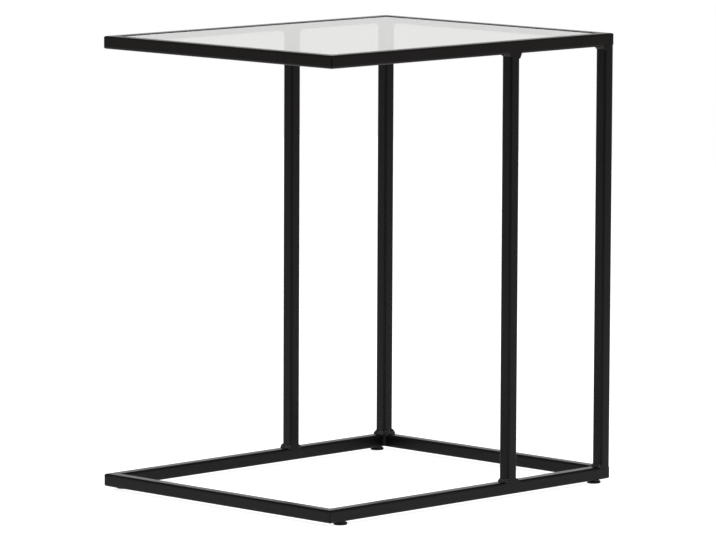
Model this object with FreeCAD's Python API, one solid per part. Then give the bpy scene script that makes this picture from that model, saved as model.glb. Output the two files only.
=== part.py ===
"""C-shaped side table: a welded frame of square steel tube with a glass pane and four screw-in feet.

Millimetres, +Z up. The origin is on the floor, below the centre of the table. The open side of the C,
which slides over a seat or a bed, is the front, at -Y. The four uprights stand in the back half.
"""
import FreeCAD, Part
import math
import os

Vector = FreeCAD.Vector
X_AXIS = Vector(1, 0, 0)
Y_AXIS = Vector(0, 1, 0)
Z_AXIS = Vector(0, 0, 1)
CENTRE = Vector(0, 0, 0)
PICK_SLACK = 0.01  # when an edge is picked by its place

# Frame, outside sizes
frame_width = 397.0  # left to right
frame_depth = 500.0  # front to back
frame_height = 562.5  # underside of the base rails to the top of the top rails
upright_spacing = 171.5  # back upright to the side upright in front of it, centre to centre

# Square steel tube
tube_size = 16.0
tube_wall = 1.2
tube_corner = 3.0  # outside radius of the tube's long edges
frame_corner = 1.5  # outside radius of a frame's four corners, ground after welding
least_inner_corner = 0.3  # inside radius where the wall is as thick as the outside radius

# Weld beads
upright_bead_leg = 4.0  # beads between an upright and a rail
corner_bead_leg = 3.0  # beads in the inner corners of the two frames
corner_bead_margin = 1.5  # end of such a bead from the rails' top or underside
tab_bead_leg = 1.8  # beads under the glass tabs
bead_crown = 0.35  # how far a bead swells out of the straight line between its two legs

# Glass pane and what carries it
glass_thickness = 8.0
glass_recess = 0.7  # top of the rails down to the top of the glass
glass_gap = 1.0  # between the pane's edge and the rails, all round
glass_corner = 3.0
glass_bevel = 0.5
bumper_diameter = 8.0
bumper_height = 1.0
bumper_inset = 9.0  # centre of a bumper from the two rails beside it
tab_thickness = 2.0
tab_leg = 26.0  # along each rail
tab_tip = 4.0  # blunt ends of the tab

# Screw-in feet
front_foot_inset = 25.5  # front of the table to the centre of a front foot
back_foot_inset = 21.0  # back of the table to the centre of a back foot
pad_diameter = 17.0
pad_height = 3.0
pad_rounding = 1.2  # between the pad's underside and its rim
pad_rim_bevel = 0.5
pad_floor = 1.0  # plastic below the stud's head
grip_notch_count = 16
grip_notch_radius = 0.5
pad_gap = 0.3  # pad to insert flange, when it is screwed right in
stud_diameter = 5.9
stud_head_diameter = 10.0
stud_head_thickness = 1.2
stud_tip_room = 1.3  # between the tip and the rail's upper wall, when the foot is screwed right in
thread_pitch = 1.0
thread_depth = 0.5
running_clearance = 0.05  # radial, stud in insert and pad on stud

# Threaded inserts riveted into the base rails
insert_flange_diameter = 13.0
insert_flange_thickness = 1.0
insert_body_diameter = 9.0
insert_collar_diameter = 9.8  # bulge that grips the wall from inside
insert_collar_height = 2.4
insert_length = 11.0  # above the underside of the rail

# Heights worked out from the sizes above
foot_height = pad_height + pad_gap + insert_flange_thickness
base_bottom = foot_height
base_top = base_bottom + tube_size
frame_top = base_bottom + frame_height
top_rail_bottom = frame_top - tube_size
glass_top = frame_top - glass_recess
glass_bottom = glass_top - glass_thickness
tab_top = glass_bottom - bumper_height
tab_bottom = tab_top - tab_thickness

# Places worked out from the sizes above
half_width = frame_width / 2
half_depth = frame_depth / 2
half_tube = tube_size / 2
tube_flat = tube_size - 2 * tube_corner
inner_half_width = half_width - tube_size
inner_half_depth = half_depth - tube_size
rail_line = half_width - half_tube
back_line = half_depth - half_tube

SIDES = {"front": 0, "right": 90, "back": 180, "left": 270}
CORNERS = {
    "front_left": (-1, -1),
    "front_right": (1, -1),
    "back_right": (1, 1),
    "back_left": (-1, 1),
}
uprights = {
    "back_left": (-rail_line, back_line),
    "back_right": (rail_line, back_line),
    "side_left": (-rail_line, back_line - upright_spacing),
    "side_right": (rail_line, back_line - upright_spacing),
}
feet = {
    "front_left": (-rail_line, -half_depth + front_foot_inset),
    "front_right": (rail_line, -half_depth + front_foot_inset),
    "back_right": (rail_line, half_depth - back_foot_inset),
    "back_left": (-rail_line, half_depth - back_foot_inset),
}


def rounded_block(width, depth, height, radius):
    """Block centred on the Z axis, standing on z = 0, with its four upright edges rounded."""
    block = Part.makeBox(width, depth, height, Vector(-width / 2, -depth / 2, 0))
    upright_edges = [edge for edge in block.Edges if abs(edge.tangentAt(0).z) > 0.9]
    return block.makeFillet(radius, upright_edges)


def prism(points, height):
    """Polygon in the XY plane, raised from z = 0 to the height."""
    corners = [Vector(x, y, 0) for x, y in points]
    outline = Part.makePolygon(corners + corners[:1])
    return Part.Face(outline).extrude(Vector(0, 0, height))


def turned(profile):
    """Closed profile of (radius, z) points, turned about the Z axis."""
    corners = [Vector(radius, 0, z) for radius, z in profile]
    outline = Part.makePolygon(corners + corners[:1])
    return Part.Face(outline).revolve(CENTRE, Z_AXIS, 360)


def moved(shape, x, y, z):
    """The shape, shifted."""
    copy = shape.copy()
    copy.translate(Vector(x, y, z))
    return copy


def about_z(shape, degrees):
    """The shape, turned about the table's centre line."""
    copy = shape.copy()
    copy.rotate(CENTRE, Z_AXIS, degrees)
    return copy


def upside_down(shape):
    """The shape, turned over about the Y axis."""
    copy = shape.copy()
    copy.rotate(CENTRE, Y_AXIS, 180)
    return copy


def tube_core(length):
    """The hollow inside the tube, along Z from z = 0."""
    inner_size = tube_size - 2 * tube_wall
    inner_corner = max(tube_corner - tube_wall, least_inner_corner)
    return rounded_block(inner_size, inner_size, length, inner_corner)


def along_x(shape, length):
    """A shape drawn along Z from z = 0, laid along X, centred, and standing on z = 0."""
    copy = shape.copy()
    copy.rotate(CENTRE, Y_AXIS, 90)
    copy.translate(Vector(-length / 2, 0, half_tube))
    return copy


def mitred_bar(length, setback):
    """Solid bar of the tube's outside shape, along X, mitred at both ends.

    Its outer face is at y = -setback. The ends of that face are rounded.
    """
    bar = along_x(rounded_block(tube_size, tube_size, length, tube_corner), length)
    bar = moved(bar, 0, half_tube - setback, 0)
    half = length / 2
    mitre = prism(
        [
            (-half, -setback),
            (half, -setback),
            (half - tube_size, tube_size - setback),
            (tube_size - half, tube_size - setback),
        ],
        tube_size,
    )
    plan = rounded_block(length, 2 * setback, tube_size, frame_corner)
    return bar.common(mitre).common(plan)


def side_lengths(side):
    """Length of a rail on this side, and how far its outer face is from the table's centre."""
    if side in ("front", "back"):
        return frame_width, half_depth
    return frame_depth, half_width


def frame_bar(side, bottom):
    """Solid outside shape of one rail of a frame whose underside is at this height."""
    length, setback = side_lengths(side)
    return moved(about_z(mitred_bar(length, setback), SIDES[side]), 0, 0, bottom)


def frame_rail(side, bottom):
    """One mitred rail of tube."""
    length, setback = side_lengths(side)
    core = moved(along_x(tube_core(length), length), 0, half_tube - setback, 0)
    return frame_bar(side, bottom).cut(moved(about_z(core, SIDES[side]), 0, 0, bottom))


def base_rail(side):
    """A rail of the base frame, with the holes for its threaded inserts."""
    rail = frame_rail(side, base_bottom)
    for x, y in feet.values():
        hole = Part.makeCylinder(insert_body_diameter / 2, tube_wall, Vector(x, y, base_bottom))
        rail = rail.cut(hole)
    return rail


def upright(name):
    """A square tube between the two frames, cut square at both ends."""
    x, y = uprights[name]
    length = top_rail_bottom - base_top
    post = rounded_block(tube_size, tube_size, length, tube_corner).cut(tube_core(length))
    return moved(post, x, y, base_top)


def bead(length, leg):
    """Weld bead along X, in the corner between a floor at z = 0 and a wall at y = 0."""
    swell = leg / 2 + bead_crown / math.sqrt(2)
    foot = Vector(-length / 2, leg, 0)
    crown = Vector(-length / 2, swell, swell)
    head = Vector(-length / 2, 0, leg)
    root = Vector(-length / 2, 0, 0)
    face_line = Part.Arc(foot, crown, head).toShape()
    section = Part.Wire([face_line, Part.makeLine(head, root), Part.makeLine(root, foot)])
    return Part.Face(section).extrude(Vector(length, 0, 0))


def groove_fill(length):
    """Weld metal along X, ground flush, in the groove that a rail's rounded edge leaves at an upright.

    The two flush outer faces are at y = 0 and the rail's top is at z = 0.
    """
    on_top = Vector(-length / 2, -tube_corner, 0)
    on_side = Vector(-length / 2, 0, -tube_corner)
    inset = tube_corner * (1 - math.sqrt(0.5))
    on_round = Vector(-length / 2, -inset, -inset)
    edge = Vector(-length / 2, 0, 0)
    round_line = Part.Arc(on_top, on_round, on_side).toShape()
    section = Part.Wire([round_line, Part.makeLine(on_side, edge), Part.makeLine(edge, on_top)])
    return Part.Face(section).extrude(Vector(length, 0, 0))


def open_turns(name):
    """Turns, from +Y, of the upright's faces that stand on top of a rail."""
    if name.startswith("side"):
        return (0, 180)
    return (180, 270) if name.endswith("left") else (180, 90)


def upright_welds(name, level, is_head):
    """A bead on each open face of an upright's end, and a groove fill on each flush face."""
    x, y = uprights[name]
    solids = []
    for turn in (0, 90, 180, 270):
        is_open = turn in open_turns(name)
        one = bead(tube_flat, upright_bead_leg) if is_open else groove_fill(tube_flat)
        if is_head:
            one = upside_down(one)
        solids.append(moved(about_z(moved(one, 0, half_tube, 0), turn), x, y, level))
    return solids


def end_welds(level, is_head):
    """All weld metal at the lower or the upper ends of the uprights."""
    solids = []
    for name in uprights:
        solids += upright_welds(name, level, is_head)
    return Part.makeCompound(solids)


def in_corner(shape, corner, z):
    """A shape drawn in the +X +Y quarter, mirrored into an inner corner of the frames."""
    sign_x, sign_y = CORNERS[corner]
    copy = shape
    if sign_x > 0:
        copy = copy.mirror(CENTRE, X_AXIS)
    if sign_y > 0:
        copy = copy.mirror(CENTRE, Y_AXIS)
    return moved(copy, sign_x * inner_half_width, sign_y * inner_half_depth, z)


def corner_welds(low, high):
    """The beads that stand in the four inner corners of one frame, between two heights."""
    one = bead(high - low, corner_bead_leg)
    one.rotate(CENTRE, Y_AXIS, 90)
    middle = (low + high) / 2
    return Part.makeCompound([in_corner(one, corner, middle) for corner in CORNERS])


def glass_tab(corner):
    """Flat corner gusset, welded inside the top frame, that carries the pane."""
    outline = [(0, 0), (tab_leg, 0), (tab_leg, tab_tip), (tab_tip, tab_leg), (0, tab_leg)]
    return in_corner(prism(outline, tab_thickness), corner, tab_bottom)


def tab_welds():
    """Two beads under each tab, from clear of the corner's bead to the tab's tip."""
    start = corner_bead_leg + bead_crown
    length = tab_leg - start
    one = upside_down(bead(length, tab_bead_leg))
    lengthwise = moved(one, start + length / 2, 0, 0)
    crosswise = lengthwise.mirror(CENTRE, Vector(1, -1, 0))
    pair = Part.makeCompound([lengthwise, crosswise])
    return Part.makeCompound([in_corner(pair, corner, tab_bottom) for corner in CORNERS])


def glass_bumper(corner):
    """Clear disc between a tab and the pane."""
    disc = Part.makeCylinder(bumper_diameter / 2, bumper_height, Vector(bumper_inset, bumper_inset, 0))
    return in_corner(disc, corner, tab_top)


def glass_pane():
    """The pane, with rounded corners and bevelled edges."""
    width = 2 * (inner_half_width - glass_gap)
    depth = 2 * (inner_half_depth - glass_gap)
    pane = rounded_block(width, depth, glass_thickness, glass_corner)
    rims = [face for face in pane.Faces if abs(face.normalAt(0, 0).z) > 0.9]
    edges = [edge for face in rims for edge in face.Edges]
    return moved(pane.makeChamfer(glass_bevel, edges), 0, 0, glass_bottom)


def threaded_insert():
    """Riveted insert, drawn with the underside of the rail at z = 0."""
    bore = stud_diameter / 2 + running_clearance
    body = insert_body_diameter / 2
    collar = insert_collar_diameter / 2
    flange = insert_flange_diameter / 2
    collar_top = tube_wall + insert_collar_height
    return turned(
        [
            (bore, -insert_flange_thickness),
            (flange, -insert_flange_thickness),
            (flange, 0),
            (body, 0),
            (body, tube_wall),
            (collar, tube_wall),
            (body, collar_top),
            (body, insert_length),
            (bore, insert_length),
        ]
    )


def threaded_inserts():
    """The four inserts in the base rails."""
    return Part.makeCompound([moved(threaded_insert(), x, y, base_bottom) for x, y in feet.values()])


def foot_stud(name):
    """Steel stud: a flat head held in the pad, and a shank with the thread's ridges."""
    head = stud_head_diameter / 2
    crest = stud_diameter / 2
    root = crest - thread_depth
    head_low = pad_floor + running_clearance
    head_top = head_low + stud_head_thickness
    tip = base_top - tube_wall - stud_tip_room
    ridge_count = math.floor((tip - foot_height) / thread_pitch)
    profile = [(0, head_low), (head, head_low), (head, head_top), (crest, head_top)]
    for ridge in range(ridge_count):
        ridge_top = tip - (ridge_count - ridge) * thread_pitch
        profile += [(crest, ridge_top), (root, ridge_top + thread_pitch / 2)]
    profile += [(root, tip), (0, tip)]
    x, y = feet[name]
    return moved(turned(profile), x, y, 0)


def foot_pad(name):
    """Round plastic pad, moulded around the stud's head, with grip notches in its rim."""
    rim = pad_diameter / 2
    neck = stud_diameter / 2 + running_clearance
    room = stud_head_diameter / 2 + running_clearance
    room_top = pad_floor + stud_head_thickness + 2 * running_clearance
    pad = turned(
        [
            (0, 0),
            (rim, 0),
            (rim, pad_height - pad_rim_bevel),
            (rim - pad_rim_bevel, pad_height),
            (neck, pad_height),
            (neck, room_top),
            (room, room_top),
            (room, pad_floor),
            (0, pad_floor),
        ]
    )
    underside_edges = [edge for edge in pad.Edges if edge.BoundBox.ZMax < PICK_SLACK]
    lower_rim = [edge for edge in underside_edges if edge.BoundBox.XMax > rim - PICK_SLACK]
    pad = pad.makeFillet(pad_rounding, lower_rim)
    for index in range(grip_notch_count):
        angle = 2 * math.pi * index / grip_notch_count
        centre = Vector(rim * math.cos(angle), rim * math.sin(angle), 0)
        pad = pad.cut(Part.makeCylinder(grip_notch_radius, pad_height, centre))
    x, y = feet[name]
    return moved(pad, x, y, 0)


def build():
    """Every piece of the table, by name."""
    pieces = {}
    for side in SIDES:
        pieces[f"base_{side}_rail"] = base_rail(side)
        pieces[f"top_{side}_rail"] = frame_rail(side, top_rail_bottom)
    for name in uprights:
        pieces[f"upright_{name}"] = upright(name)
    pieces["upright_foot_welds"] = end_welds(base_top, False)
    pieces["upright_head_welds"] = end_welds(top_rail_bottom, True)
    base_bead_ends = base_bottom + corner_bead_margin, base_top - corner_bead_margin
    pieces["base_corner_welds"] = corner_welds(*base_bead_ends)
    pieces["top_corner_welds"] = corner_welds(top_rail_bottom + corner_bead_margin, tab_bottom)
    pieces["glass_tab_welds"] = tab_welds()
    for corner in CORNERS:
        pieces[f"glass_tab_{corner}"] = glass_tab(corner)
        pieces[f"glass_bumper_{corner}"] = glass_bumper(corner)
    pieces["glass_pane"] = glass_pane()
    pieces["threaded_inserts"] = threaded_inserts()
    for name in feet:
        pieces[f"foot_stud_{name}"] = foot_stud(name)
        pieces[f"foot_pad_{name}"] = foot_pad(name)
    return pieces


os.makedirs("parts", exist_ok=True)
for piece_name, piece in build().items():
    piece.exportStep(f"parts/{piece_name}.step")
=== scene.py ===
"""Looks of the C-shaped side table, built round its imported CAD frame.

Metres, +Z up, front at -Y.
"""

import bpy
import bmesh
import math
from mathutils import Matrix, Vector, noise


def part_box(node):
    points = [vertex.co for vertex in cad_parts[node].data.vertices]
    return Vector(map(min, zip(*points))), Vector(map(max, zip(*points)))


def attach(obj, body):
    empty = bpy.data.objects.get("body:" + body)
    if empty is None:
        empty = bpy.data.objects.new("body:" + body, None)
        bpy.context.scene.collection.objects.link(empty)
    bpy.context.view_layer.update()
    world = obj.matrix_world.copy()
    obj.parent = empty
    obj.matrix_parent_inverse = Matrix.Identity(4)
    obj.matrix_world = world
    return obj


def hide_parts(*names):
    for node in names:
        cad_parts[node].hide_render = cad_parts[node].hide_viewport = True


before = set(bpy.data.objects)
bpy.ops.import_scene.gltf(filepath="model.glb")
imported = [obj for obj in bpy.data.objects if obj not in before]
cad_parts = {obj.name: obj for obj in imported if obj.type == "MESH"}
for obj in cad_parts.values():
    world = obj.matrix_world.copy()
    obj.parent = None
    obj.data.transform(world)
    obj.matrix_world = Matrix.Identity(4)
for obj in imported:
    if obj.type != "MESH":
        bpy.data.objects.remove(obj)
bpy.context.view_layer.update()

MM = 0.001
X, Y, Z = Vector((1, 0, 0)), Vector((0, 1, 0)), Vector((0, 0, 1))

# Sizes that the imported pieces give
base_low, base_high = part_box("base_front_rail")
tab_low, tab_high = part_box("glass_tab_back_right")
TUBE = base_high.z - base_low.z
HALF = TUBE / 2
BASE_BOTTOM, BASE_TOP = base_low.z, base_high.z
HEAD_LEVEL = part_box("top_front_rail")[0].z
TAB_BOTTOM = tab_low.z
TAB_WIDTH = tab_high.x - tab_low.x
INNER_X, INNER_Y = base_high.x - TUBE, -base_low.y - TUBE

# Sizes of the source that no piece's box gives
EDGE_RADIUS = 3.0 * MM
CORNER_BEAD_MARGIN = 1.5 * MM


# ---------------------------------------------------------------- nodes

def new_material(name):
    """Empty node material with its output node."""
    material = bpy.data.materials.new(name)
    material.use_nodes = True
    material.node_tree.nodes.clear()
    out = material.node_tree.nodes.new("ShaderNodeOutputMaterial")
    return material, material.node_tree, out


def put(tree, socket, value):
    """Set an input to a number or colour, or link it if the value is a socket."""
    if isinstance(value, bpy.types.NodeSocket):
        tree.links.new(value, socket)
    else:
        socket.default_value = value


def add(tree, kind, settings=None, **inputs):
    """New node with plain settings and inputs. Underscores in an input's key stand for spaces."""
    made = tree.nodes.new(kind)
    for key, value in (settings or {}).items():
        setattr(made, key, value)
    for key, value in inputs.items():
        put(tree, made.inputs[key.replace("_", " ")], value)
    return made


def calc(tree, operation, *values, clamp=False):
    """Result of one math node. The values go to its inputs in order."""
    made = add(tree, "ShaderNodeMath", {"operation": operation, "use_clamp": clamp})
    for socket, value in zip(made.inputs, values):
        put(tree, socket, value)
    return made.outputs[0]


def between(tree, kind, factor, one, other):
    """Number (FLOAT) or colour (RGBA) between two, by a factor."""
    made = add(tree, "ShaderNodeMix", {"data_type": kind}, Factor=factor, A=one, B=other)
    return made.outputs["Result"]


def two_tone(tree, factor, one, other):
    """Opaque colour between two, by a factor."""
    return between(tree, "RGBA", factor, (*one, 1), (*other, 1))


NOISE_MIDDLE = (0.3, 0.7)


def spread(tree, value, low, high, span=NOISE_MIDDLE, kind="LINEAR"):
    """The value, mapped from a span, which is the middle of a noise if not given, onto a range."""
    made = add(tree, "ShaderNodeMapRange", {"interpolation_type": kind}, Value=value,
               From_Min=span[0], From_Max=span[1], To_Min=low, To_Max=high)
    return made.outputs["Result"]


def ease(tree, value, low, high, span):
    """The value, mapped from a span onto a range with soft ends."""
    return spread(tree, value, low, high, span, "SMOOTHSTEP")


def grain(tree, place, waves, detail):
    """Noise in object space, with so many waves per metre."""
    made = add(tree, "ShaderNodeTexNoise", Vector=place, Scale=waves, Detail=detail)
    return made.outputs["Fac"]


def bumps(tree, *layers):
    """Chained bumps. Each layer is a height and its depth in metres."""
    normal = None
    for height, depth in layers:
        made = add(tree, "ShaderNodeBump", Height=height, Strength=1.0, Distance=depth)
        if normal:
            tree.links.new(normal, made.inputs["Normal"])
        normal = made.outputs["Normal"]
    return normal


def principled(tree, out, **inputs):
    """Principled shader on the output. Keys are the socket names with underscores."""
    shader = add(tree, "ShaderNodeBsdfPrincipled", **inputs)
    tree.links.new(shader.outputs["BSDF"], out.inputs["Surface"])


# ---------------------------------------------------------------- materials

COAT_BLACKS = (0.0032, 0.0030, 0.0030), (0.0048, 0.0045, 0.0045)
# The pale second tone of the weld coat is a painted highlight: glints on the weld ripples
WELD_COAT_BLACK_AND_PAINTED_GLINTS = (0.0035, 0.0037, 0.0039), (0.072, 0.076, 0.080)
# The pale second tone of the corner coat is a fainter painted highlight on the narrow beads
CORNER_COAT_BLACK_AND_PAINTED_GLINTS = (0.0030, 0.0030, 0.0031), (0.014, 0.0145, 0.015)
SILICONE_TONES = (0.80, 0.82, 0.82), (0.88, 0.89, 0.88)
ZINC_TONES = (0.045, 0.045, 0.048), (0.12, 0.12, 0.125)
PAD_TONES = (0.0085, 0.0085, 0.009), (0.028, 0.027, 0.026)

COAT_SPECULAR = 0.25
PAD_SPECULAR = 0.4
GLASS_IOR = 1.52
SILICONE_IOR = 1.41
SILICONE_CLEARNESS = 0.8

GLASS_SURFACE = (0.97, 0.965, 0.88, 1)
GLASS_BODY = (0.4075, 0.714, 0.6025, 1)
GLASS_DENSITY = 8.0
GLASS_SMEAR = 0.012
GLASS_GROUND = 0.60
PANE_EDGE_SPAN = (0.90, 0.98)

SCUFF_HEIGHT = 1.2 * MM
RING_WAVES = 900.0


def powder_coat(name="powder_coat", blacks_and_painted_glints=COAT_BLACKS, drift_waves=14, middle=NOISE_MIDDLE):
    """Satin black powder coat: fine orange peel, a drift in gloss and in depth of black.

    The drift has so many waves per metre, and its middle is spread between the two tones given; in
    the weld and corner coats the pale one is a painted highlight.
    """
    material, tree, out = new_material(name)
    place = add(tree, "ShaderNodeTexCoord").outputs["Object"]
    drift = grain(tree, place, waves=drift_waves, detail=3.0)
    patch = grain(tree, place, waves=90, detail=2.0)
    peel = grain(tree, place, waves=620, detail=1.5)
    fine = grain(tree, place, waves=2600, detail=1.0)
    slow_share = spread(tree, drift, 0.14, 0.18)
    patch_share = spread(tree, patch, 0.15, 0.18)
    principled(
        tree, out,
        # for the weld and corner coats this colour drift paints pale highlight flecks
        Base_Color=two_tone(tree, spread(tree, drift, 0, 1, middle), *blacks_and_painted_glints),
        Roughness=calc(tree, "ADD", slow_share, patch_share),
        Specular_IOR_Level=COAT_SPECULAR,
        Normal=bumps(tree, (peel, 0.016 * MM), (fine, 0.003 * MM)),
    )
    return material


def weld_coat_with_painted_highlights():
    """The same coat over the ripples of a weld, with pale flecks in its colour: painted highlights
    where the ripples catch the light.
    """
    return powder_coat("powder_coat_on_welds_painted_highlights", WELD_COAT_BLACK_AND_PAINTED_GLINTS, drift_waves=560,
                       middle=(0.42, 0.66))


def corner_coat_with_painted_highlights():
    """The same coat over the narrow beads inside the corners of the frames, with faint pale flecks
    in its colour: painted highlights.
    """
    return powder_coat("powder_coat_in_corners_painted_highlights", CORNER_COAT_BLACK_AND_PAINTED_GLINTS, drift_waves=420,
                       middle=(0.42, 0.70))


def pane_glass():
    """Clear glass: faces with a slight tint and smear, ground edges, and a green body."""
    material, tree, out = new_material("pane_glass")
    coords = add(tree, "ShaderNodeTexCoord")
    facing = add(tree, "ShaderNodeSeparateXYZ", Vector=coords.outputs["Normal"])
    level = calc(tree, "ABSOLUTE", facing.outputs["Z"])
    smear = grain(tree, coords.outputs["Object"], waves=9, detail=3.0)
    face = spread(tree, smear, 0.0, GLASS_SMEAR, (0.45, 0.75))
    edge = spread(tree, level, GLASS_GROUND, 0.0, PANE_EDGE_SPAN)
    principled(
        tree, out,
        Base_Color=GLASS_SURFACE,
        Roughness=calc(tree, "ADD", face, edge, clamp=True),
        IOR=GLASS_IOR,
        Transmission_Weight=1.0,
    )
    body = add(tree, "ShaderNodeVolumeAbsorption", Color=GLASS_BODY, Density=GLASS_DENSITY)
    tree.links.new(body.outputs["Volume"], out.inputs["Volume"])
    return material


def silicone():
    """Clear soft bumper, slightly cloudy."""
    material, tree, out = new_material("bumper_silicone")
    place = add(tree, "ShaderNodeTexCoord").outputs["Object"]
    cloud = grain(tree, place, waves=900, detail=2.0)
    principled(
        tree, out,
        Base_Color=two_tone(tree, spread(tree, cloud, 0, 1), *SILICONE_TONES),
        Roughness=spread(tree, cloud, 0.22, 0.38),
        IOR=SILICONE_IOR,
        Transmission_Weight=SILICONE_CLEARNESS,
    )
    return material


def black_zinc():
    """Black zinc plating over turned steel, with fine rings and a cloudy tone."""
    material, tree, out = new_material("plated_steel")
    place = add(tree, "ShaderNodeTexCoord").outputs["Object"]
    cloud = grain(tree, place, waves=220, detail=3.0)
    turned = {"wave_type": "BANDS", "bands_direction": "Z"}
    rings = add(tree, "ShaderNodeTexWave", turned, Vector=place, Scale=RING_WAVES, Distortion=0.6)
    principled(
        tree, out,
        Base_Color=two_tone(tree, spread(tree, cloud, 0, 1), *ZINC_TONES),
        Metallic=1.0,
        Roughness=spread(tree, cloud, 0.30, 0.46),
        Normal=bumps(tree, (rings.outputs["Fac"], 0.006 * MM), (cloud, 0.01 * MM)),
    )
    return material


def moulded_plastic():
    """Black polyethylene pad: fine spark-eroded texture, scuffed lighter low on its rim."""
    material, tree, out = new_material("pad_plastic")
    place = add(tree, "ShaderNodeTexCoord").outputs["Object"]
    height = add(tree, "ShaderNodeSeparateXYZ", Vector=place).outputs["Z"]
    cloud = grain(tree, place, waves=300, detail=3.0)
    texture = grain(tree, place, waves=2400, detail=2.0)
    low = spread(tree, height, 1.0, 0.0, (0.0, SCUFF_HEIGHT))
    scuff = calc(tree, "MULTIPLY", low, spread(tree, cloud, 0, 1))
    principled(
        tree, out,
        Base_Color=two_tone(tree, scuff, *PAD_TONES),
        Roughness=spread(tree, cloud, 0.42, 0.58),
        Specular_IOR_Level=PAD_SPECULAR,
        Normal=bumps(tree, (texture, 0.02 * MM)),
    )
    return material


# ---------------------------------------------------------------- weld metal

GROUND = 1  # material index of the faces that are ground flush with the tube
SHARP_ANGLE = math.radians(55)
CORNER_POINTS = 7

# The bead's mesh
STATION = 0.28 * MM
LEAST_STATIONS = 8
FACE_POINTS = 11
SINK = 0.12 * MM
TAPER = 1.5 * MM
LEAST_SWELL = 0.08

# Its unevenness. The waves are per metre, except across the face of the bead.
SEED_STEPS = (7.31, 1.77)
WALL_TOE_SEED, RIPPLE_SEED = 11, 5
TOE_WANDER = 0.13
FLOOR_TOE_WAVES, WALL_TOE_WAVES = 420, 380
RIPPLE_PITCH = 1.55 * MM
RIPPLE_LAG = 0.55 * MM
RIPPLE_HEIGHT = 0.13 * MM
RIPPLE_LEVEL = 0.6
RIPPLE_WANDER = 0.25
RIPPLE_WAVES = 300
PIT_HEIGHT = 0.10 * MM
PIT_WAVES, PIT_WAVES_ACROSS = 900, 3
PIT_SEED_STEP = 3.1


def finish_piece(name, bm, materials, slot_name, *replaced):
    """Mesh object on the frame body, in place of the CAD nodes it stands for."""
    bmesh.ops.recalc_face_normals(bm, faces=bm.faces)
    mesh = bpy.data.meshes.new(name)
    bm.to_mesh(mesh)
    bm.free()
    mesh.shade_smooth()
    mesh.set_sharp_from_angle(angle=SHARP_ANGLE)
    for material in materials:
        mesh.materials.append(material)
    piece = bpy.data.objects.new(name, mesh)
    bpy.context.scene.collection.objects.link(piece)
    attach(piece, "frame")
    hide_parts(*replaced)
    return piece


def lump(place, waves, seed):
    """Smooth noise between about -1 and 1."""
    return noise.noise(Vector((place * waves, seed * SEED_STEPS[0], seed * SEED_STEPS[1])))


def rounding_depth(distance):
    """How far a rounded edge of the tube has fallen away, this far in from its side face."""
    if distance >= EDGE_RADIUS:
        return 0.0
    reach = EDGE_RADIUS - max(distance, 0.0)
    return EDGE_RADIUS - math.sqrt(EDGE_RADIUS ** 2 - reach ** 2)


def lay_bead(bm, start, along, floor_way, wall_way, length, floor_leg, wall_leg, seed,
             crown, rough=1.0, flush_end=False, over_rounding=False):
    """A hand-laid fillet weld in the corner between two faces, from start, this long.

    It has overlapping ripples, uneven toes and rounded ends. With flush_end its far end is
    ground flat. With over_rounding it also fills what the tubes' rounded edges leave below
    its two ends.
    """
    stations = max(LEAST_STATIONS, round(length / STATION))
    out_way = (floor_way + wall_way).normalized()
    rings = []
    for i in range(stations + 1):
        s = i / stations * length
        from_end = s if flush_end else min(s, length - s)
        swell = 1.0
        if from_end < TAPER:
            swell = math.sqrt(max(0.0, 1 - (1 - from_end / TAPER) ** 2))
        swell = max(swell, LEAST_SWELL)
        a = floor_leg * swell * (1 + TOE_WANDER * rough * lump(s, FLOOR_TOE_WAVES, seed))
        wall_seed = seed + WALL_TOE_SEED
        b = wall_leg * swell * (1 + TOE_WANDER * rough * lump(s, WALL_TOE_WAVES, wall_seed))
        wander = RIPPLE_WANDER * lump(s, RIPPLE_WAVES, seed + RIPPLE_SEED)
        sink = SINK + (rounding_depth(min(s, length - s)) if over_rounding else 0.0)
        place = start + along * s
        ring = [place - floor_way * sink - wall_way * sink]
        for j in range(FACE_POINTS):
            t = j / (FACE_POINTS - 1)
            bow = math.sin(math.pi * t)
            phase = (s + RIPPLE_LAG * bow) / RIPPLE_PITCH + wander
            ripple = abs(math.sin(math.pi * phase)) - RIPPLE_LEVEL
            pit = noise.noise(Vector((s * PIT_WAVES, t * PIT_WAVES_ACROSS, seed * PIT_SEED_STEP)))
            height = crown * bow * swell + RIPPLE_HEIGHT * rough * ripple * bow * swell
            height += PIT_HEIGHT * rough * pit * bow * swell
            point = place + floor_way * (a * (1 - t)) + wall_way * (b * t) + out_way * height
            if j == 0:
                point -= wall_way * sink
            if j == FACE_POINTS - 1:
                point -= floor_way * sink
            ring.append(point)
        rings.append([bm.verts.new(p) for p in ring])
    for one, other in zip(rings, rings[1:]):
        for k in range(len(one)):
            n = (k + 1) % len(one)
            bm.faces.new((one[k], one[n], other[n], other[k]))
    bm.faces.new(rings[0])
    last = bm.faces.new(rings[-1])
    if flush_end:
        last.material_index = GROUND


def ground_joint(bm, centre, low, high):
    """Rounded square slab of weld metal, ground flush with the tube all round."""
    outline = []
    inner = HALF - EDGE_RADIUS
    for quarter, (sx, sy) in enumerate(((1, 1), (-1, 1), (-1, -1), (1, -1))):
        for k in range(CORNER_POINTS):
            angle = math.pi / 2 * (quarter + k / (CORNER_POINTS - 1))
            outline.append((sx * inner + EDGE_RADIUS * math.cos(angle),
                            sy * inner + EDGE_RADIUS * math.sin(angle)))
    levels = [[bm.verts.new((centre.x + x, centre.y + y, z)) for x, y in outline]
              for z in (low, high)]
    faces = [bm.faces.new(level) for level in levels]
    for k in range(len(outline)):
        n = (k + 1) % len(outline)
        faces.append(bm.faces.new((levels[0][k], levels[0][n], levels[1][n], levels[1][k])))
    for face in faces:
        face.material_index = GROUND


POST_NAMES = ("back_left", "back_right", "side_left", "side_right")
FRAME_CORNERS = ((-1, -1), (1, -1), (1, 1), (-1, 1))

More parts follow.
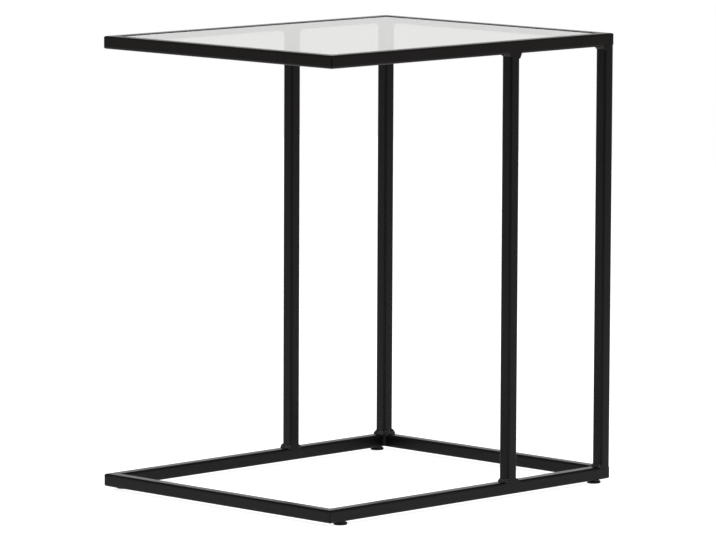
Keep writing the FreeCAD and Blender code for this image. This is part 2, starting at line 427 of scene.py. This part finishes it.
# By upright, direction and end: legs on the rail and on the upright, roughness and crown.
# Legs and crown are in millimetres.
BEADS = {
    ("side_right", "-Y", "foot"): (3.8, 3.7, 1.2, 0.45),
    ("side_right", "Y", "foot"): (3.4, 3.2, 1.0, 0.45),
    ("side_right", "-Y", "head"): (3.6, 3.6, 1.1, 0.45),
    ("side_right", "Y", "head"): (3.2, 6.5, 0.4, -0.25),
    ("side_left", "-Y", "foot"): (3.6, 4.4, 1.6, 0.45),
    ("side_left", "Y", "foot"): (3.6, 3.6, 1.2, 0.45),
    ("side_left", "-Y", "head"): (3.6, 3.6, 1.0, 0.45),
    ("side_left", "Y", "head"): (3.6, 3.4, 1.0, 0.45),
    ("back_right", "-Y", "foot"): (3.0, 3.0, 1.0, 0.40),
    ("back_right", "X", "foot"): (3.2, 3.4, 1.0, 0.40),
    ("back_right", "-Y", "head"): (4.2, 4.4, 1.2, 0.45),
    ("back_right", "X", "head"): (5.0, 4.8, 1.0, 0.10),
    ("back_left", "-Y", "foot"): (3.6, 5.0, 3.0, 0.30),
    ("back_left", "X", "foot"): (4.4, 5.6, 3.0, 0.45),
    ("back_left", "-Y", "head"): (3.4, 3.4, 1.0, 0.45),
    ("back_left", "X", "head"): (3.6, 3.4, 1.0, 0.45),
}
BEAD_INSET = 0.25 * MM
BACK_LEFT_CORNER_LEG, CORNER_LEG = 3.1 * MM, 2.8 * MM
CORNER_CROWN, CORNER_ROUGHNESS = 0.2 * MM, 2.2
TAB_BEAD_LEG, TAB_BEAD_CLEAR, TAB_BEAD_CROWN = 1.8 * MM, 3.4 * MM, 0.3 * MM

# First seeds of the beads' noise
UPRIGHT_SEEDS = {"foot": 3, "head": 31}
CORNER_SEED, TAB_SEED_X, TAB_SEED_Y = 50, 70, 80


def post_centre(name):
    """Middle of an upright."""
    low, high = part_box("upright_" + name)
    return (low + high) / 2


def open_ways(name):
    """Directions of the upright's faces that stand on top of a rail."""
    if name.startswith("side"):
        return (-Y, Y)
    return (-Y, X) if name.endswith("left") else (-Y, -X)


def upright_welds(end, materials):
    """The beads and the ground joints at the lower or the upper ends of the uprights."""
    bm = bmesh.new()
    level = BASE_TOP if end == "foot" else HEAD_LEVEL
    up = Z if end == "foot" else -Z
    into_rail = level - up.z * EDGE_RADIUS
    for number, name in enumerate(POST_NAMES):
        centre = post_centre(name)
        ground_joint(bm, centre, min(level, into_rail), max(level, into_rail))
        for turn, way in enumerate(open_ways(name)):
            across = abs(way.x) > 0.5
            axis = "X" if across else ("-Y" if way.y < 0 else "Y")
            floor_leg, wall_leg, rough, crown = BEADS[(name, axis, end)]
            outward = Y if across else X * math.copysign(1, centre.x)
            start = Vector((centre.x, centre.y, level)) + way * HALF - outward * (HALF - BEAD_INSET)
            seed = number * 4 + turn * 2 + UPRIGHT_SEEDS[end]
            lay_bead(bm, start, outward, way, up, TUBE - BEAD_INSET,
                     floor_leg * MM, wall_leg * MM, seed,
                     crown * MM, rough, flush_end=True, over_rounding=True)
    finish_piece(f"weld_beads_{end}", bm, materials, "powder_coat", f"upright_{end}_welds")


def corner_welds(label, low, high, material):
    """Upright beads in the four inner corners of one frame."""
    bm = bmesh.new()
    for number, (sx, sy) in enumerate(FRAME_CORNERS):
        foot = Vector((sx * INNER_X, sy * INNER_Y, low))
        leg = BACK_LEFT_CORNER_LEG if (sx, sy) == (-1, 1) else CORNER_LEG
        lay_bead(bm, foot, Z, X * -sx, Y * -sy, high - low, leg, leg, CORNER_SEED + number,
                 CORNER_CROWN, CORNER_ROUGHNESS)
    finish_piece(f"weld_beads_{label}_corners", bm, [material], "powder_coat",
                 f"{label}_corner_welds")


def tab_welds(material):
    """Two short beads under each glass tab."""
    bm = bmesh.new()
    length = TAB_WIDTH - TAB_BEAD_CLEAR
    for number, (sx, sy) in enumerate(FRAME_CORNERS):
        corner = Vector((sx * INNER_X, sy * INNER_Y, TAB_BOTTOM))
        x_way, y_way = X * -sx, Y * -sy
        for along, across, seed in ((x_way, y_way, TAB_SEED_X), (y_way, x_way, TAB_SEED_Y)):
            lay_bead(bm, corner + along * TAB_BEAD_CLEAR, along, across, -Z, length,
                     TAB_BEAD_LEG, TAB_BEAD_LEG, seed + number, TAB_BEAD_CROWN)
    finish_piece("weld_beads_tabs", bm, [material], "powder_coat", "glass_tab_welds")


# ---------------------------------------------------------------- studio

CAMERA_AZIMUTH = math.radians(44.48)
CAMERA_ELEVATION = math.radians(6.995)
CAMERA_ROLL = math.radians(0.249)
CAMERA_DISTANCE = 7.1256
CAMERA_AIM = Vector((0, 0, 0.27221))
CAMERA_SHIFT = 0.0014
SENSOR_WIDTH, LENS = 36.0, 287.25  # millimetres
CLIP_START, CLIP_END = 0.5, 60.0

# Strength of the studio as a gloss sees it: the backdrop, the sides, the photographer's side
# and overhead
BACK_GLOSS = 0.95
SIDE_GLOSS = 0.34
NEAR_GLOSS = 0.02
HIGH_GLOSS = 0.03
ROOM_TINT = (1.0, 0.74, 0.72)
# as the glass shows it: the backdrop and the photographer's side
THROUGH_BACK = 0.66
THROUGH_NEAR = 0.985
# as a soft tent for diffuse light, and as the camera sees it
TENT_DIFFUSE = 0.55
CAMERA_WHITE = 1.0

# Where one of them passes into the next: -1 is towards the backdrop and 1 is towards the
# photographer, and for the last span 0 is level and 1 is straight up
BACK_TO_SIDE = (-0.75, 0.05)
SIDE_TO_NEAR = (0.3, 0.95)
THROUGH_SPAN = (-0.60, 0.20)
LOW_TO_HIGH = (0.30, 0.70)

FLOOR_GREYS = (0.54, 0.54, 0.54), (0.57, 0.57, 0.57)
FLOOR_LIFT = 0.865
FLOOR_LIFT_GLOSSY = 0.25
FLOOR_LIFT_THROUGH = 0.29
FLOOR_HALF_SIZE = 3.2
FLOOR_CELLS = 12
FLOOR_GAP = 0.05 * MM

LAMP_SIZE = 2.8
LAMP_POWER = 36.0
LAMP_PLACE = (0.25, -0.25, 2.3)


def studio_world():
    """White backdrop, seen as white by the camera, and as a soft tent by what it lights."""
    world = bpy.data.worlds.new("studio")
    bpy.context.scene.world = world
    world.use_nodes = True
    world.cycles.sampling_method = "NONE"
    tree = world.node_tree
    tree.nodes.clear()
    out = tree.nodes.new("ShaderNodeOutputWorld")
    ray = add(tree, "ShaderNodeLightPath").outputs
    way = add(tree, "ShaderNodeTexCoord").outputs["Generated"]
    # 1 towards the photographer's side of the studio, -1 towards the backdrop
    towards = add(tree, "ShaderNodeVectorMath", {"operation": "DOT_PRODUCT"})
    put(tree, towards.inputs[0], way)
    put(tree, towards.inputs[1], (math.sin(CAMERA_AZIMUTH), -math.cos(CAMERA_AZIMUTH), 0))
    side = towards.outputs["Value"]
    height = add(tree, "ShaderNodeSeparateXYZ", Vector=way).outputs["Z"]

    ring = calc(
        tree, "SUBTRACT",
        ease(tree, side, BACK_GLOSS, SIDE_GLOSS, BACK_TO_SIDE),
        ease(tree, side, 0.0, SIDE_GLOSS - NEAR_GLOSS, SIDE_TO_NEAR),
    )
    lift = ease(tree, height, 0.0, 1.0, LOW_TO_HIGH)
    gloss = between(tree, "FLOAT", lift, ring, HIGH_GLOSS)
    # through the glass, the backdrop is greyer than the white that the camera sees
    beyond = ease(tree, side, THROUGH_BACK, THROUGH_NEAR, THROUGH_SPAN)
    strength = between(tree, "FLOAT", ray["Is Glossy Ray"], TENT_DIFFUSE, gloss)
    strength = between(tree, "FLOAT", ray["Is Transmission Ray"], strength, beyond)
    strength = between(tree, "FLOAT", ray["Is Camera Ray"], strength, CAMERA_WHITE)

    # away from the white sweep, what a gloss sees is a warm, dim room
    room = ease(tree, side, 0.0, 1.0, BACK_TO_SIDE)
    # a ray that has passed the glass counts as glossy too
    mirrored = calc(tree, "SUBTRACT", ray["Is Glossy Ray"], ray["Is Transmission Ray"], clamp=True)
    tint = two_tone(tree, calc(tree, "MULTIPLY", room, mirrored), (1, 1, 1), ROOM_TINT)
    background = add(tree, "ShaderNodeBackground", Color=tint, Strength=strength)
    tree.links.new(background.outputs[0], out.inputs["Surface"])


def pale_floor():
    """Pale floor, lifted towards the white of the backdrop for camera, gloss and glass."""
    material, tree, out = new_material("studio_floor")
    place = add(tree, "ShaderNodeTexCoord").outputs["Object"]
    cloud = grain(tree, place, waves=1.5, detail=2.0)
    tone = two_tone(tree, spread(tree, cloud, 0, 1), *FLOOR_GREYS)
    shader = add(tree, "ShaderNodeBsdfDiffuse", Color=tone)
    ray = add(tree, "ShaderNodeLightPath").outputs
    seen = calc(tree, "MULTIPLY", ray["Is Camera Ray"], FLOOR_LIFT)
    glossy = calc(tree, "MULTIPLY", ray["Is Glossy Ray"], FLOOR_LIFT_GLOSSY)
    through = calc(tree, "MULTIPLY", ray["Is Transmission Ray"], FLOOR_LIFT_THROUGH)
    total = calc(tree, "ADD", calc(tree, "ADD", seen, glossy), through)
    glow = add(tree, "ShaderNodeEmission", Color=(1, 1, 1, 1), Strength=total)
    both = tree.nodes.new("ShaderNodeAddShader")
    tree.links.new(shader.outputs[0], both.inputs[0])
    tree.links.new(glow.outputs[0], both.inputs[1])
    tree.links.new(both.outputs[0], out.inputs["Surface"])
    return material


def studio_floor(material):
    """A plain floor under the feet."""
    bm = bmesh.new()
    bmesh.ops.create_grid(bm, x_segments=FLOOR_CELLS, y_segments=FLOOR_CELLS,
                          size=FLOOR_HALF_SIZE)
    mesh = bpy.data.meshes.new("studio_floor")
    bm.to_mesh(mesh)
    bm.free()
    mesh.materials.append(material)
    floor = bpy.data.objects.new("studio_floor", mesh)
    floor.location = (0, 0, -FLOOR_GAP)
    bpy.context.scene.collection.objects.link(floor)


def soft_box():
    """One broad, soft lamp overhead. Gloss and glass see the backdrop rather than the lamp."""
    lamp = bpy.data.lights.new("soft_box", "AREA")
    lamp.shape = "RECTANGLE"
    lamp.size, lamp.size_y = LAMP_SIZE, LAMP_SIZE
    lamp.energy = LAMP_POWER
    box = bpy.data.objects.new("soft_box", lamp)
    box.location = LAMP_PLACE
    bpy.context.scene.collection.objects.link(box)
    box.visible_camera = False
    box.visible_glossy = False
    box.visible_transmission = False


def camera():
    """The photographer's lens: long and nearly level, 44.5 degrees round from the front."""
    data = bpy.data.cameras.new("camera")
    data.sensor_width = SENSOR_WIDTH
    data.lens = LENS
    data.clip_start, data.clip_end = CLIP_START, CLIP_END
    back = Vector((
        math.sin(CAMERA_AZIMUTH) * math.cos(CAMERA_ELEVATION),
        -math.cos(CAMERA_AZIMUTH) * math.cos(CAMERA_ELEVATION),
        math.sin(CAMERA_ELEVATION),
    ))
    level = Vector((math.cos(CAMERA_AZIMUTH), math.sin(CAMERA_AZIMUTH), 0))
    upward = level.cross(-back)
    right = level * math.cos(CAMERA_ROLL) + upward * math.sin(CAMERA_ROLL)
    up = upward * math.cos(CAMERA_ROLL) - level * math.sin(CAMERA_ROLL)
    place = CAMERA_AIM - right * CAMERA_SHIFT + back * CAMERA_DISTANCE
    eye = bpy.data.objects.new("camera", data)
    turned = Matrix((right, up, back)).transposed().to_4x4()
    eye.matrix_world = Matrix.Translation(place) @ turned
    bpy.context.scene.collection.objects.link(eye)
    bpy.context.scene.camera = eye


# ---------------------------------------------------------------- the table

coat = powder_coat()
# the weld and corner coats paint highlights into their colour as pale flecks
weld_coat_painted_highlights = weld_coat_with_painted_highlights()
corner_coat_painted_highlights = corner_coat_with_painted_highlights()
glass = pane_glass()
soft = silicone()
zinc = black_zinc()
plastic = moulded_plastic()

for name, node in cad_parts.items():
    if name == "glass_pane":
        finish = glass
    elif name.startswith("glass_bumper"):
        finish = soft
    elif name.startswith("foot_pad"):
        finish = plastic
    elif name.startswith("foot_stud") or name == "threaded_inserts":
        finish = zinc
    else:
        finish = coat
    if not node.material_slots:
        node.data.materials.append(finish)
    for slot in node.material_slots:
        slot.material = finish
# clear glass lets the light through to the floor
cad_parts["glass_pane"].visible_shadow = False

upright_welds("foot", [weld_coat_painted_highlights, coat])
upright_welds("head", [weld_coat_painted_highlights, coat])
corner_welds("base", BASE_BOTTOM + CORNER_BEAD_MARGIN, BASE_TOP - CORNER_BEAD_MARGIN, corner_coat_painted_highlights)
corner_welds("top", HEAD_LEVEL + CORNER_BEAD_MARGIN, TAB_BOTTOM, corner_coat_painted_highlights)
tab_welds(corner_coat_painted_highlights)

studio_world()
studio_floor(pale_floor())
soft_box()
camera()

scene = bpy.context.scene
scene.view_settings.view_transform = "Standard"
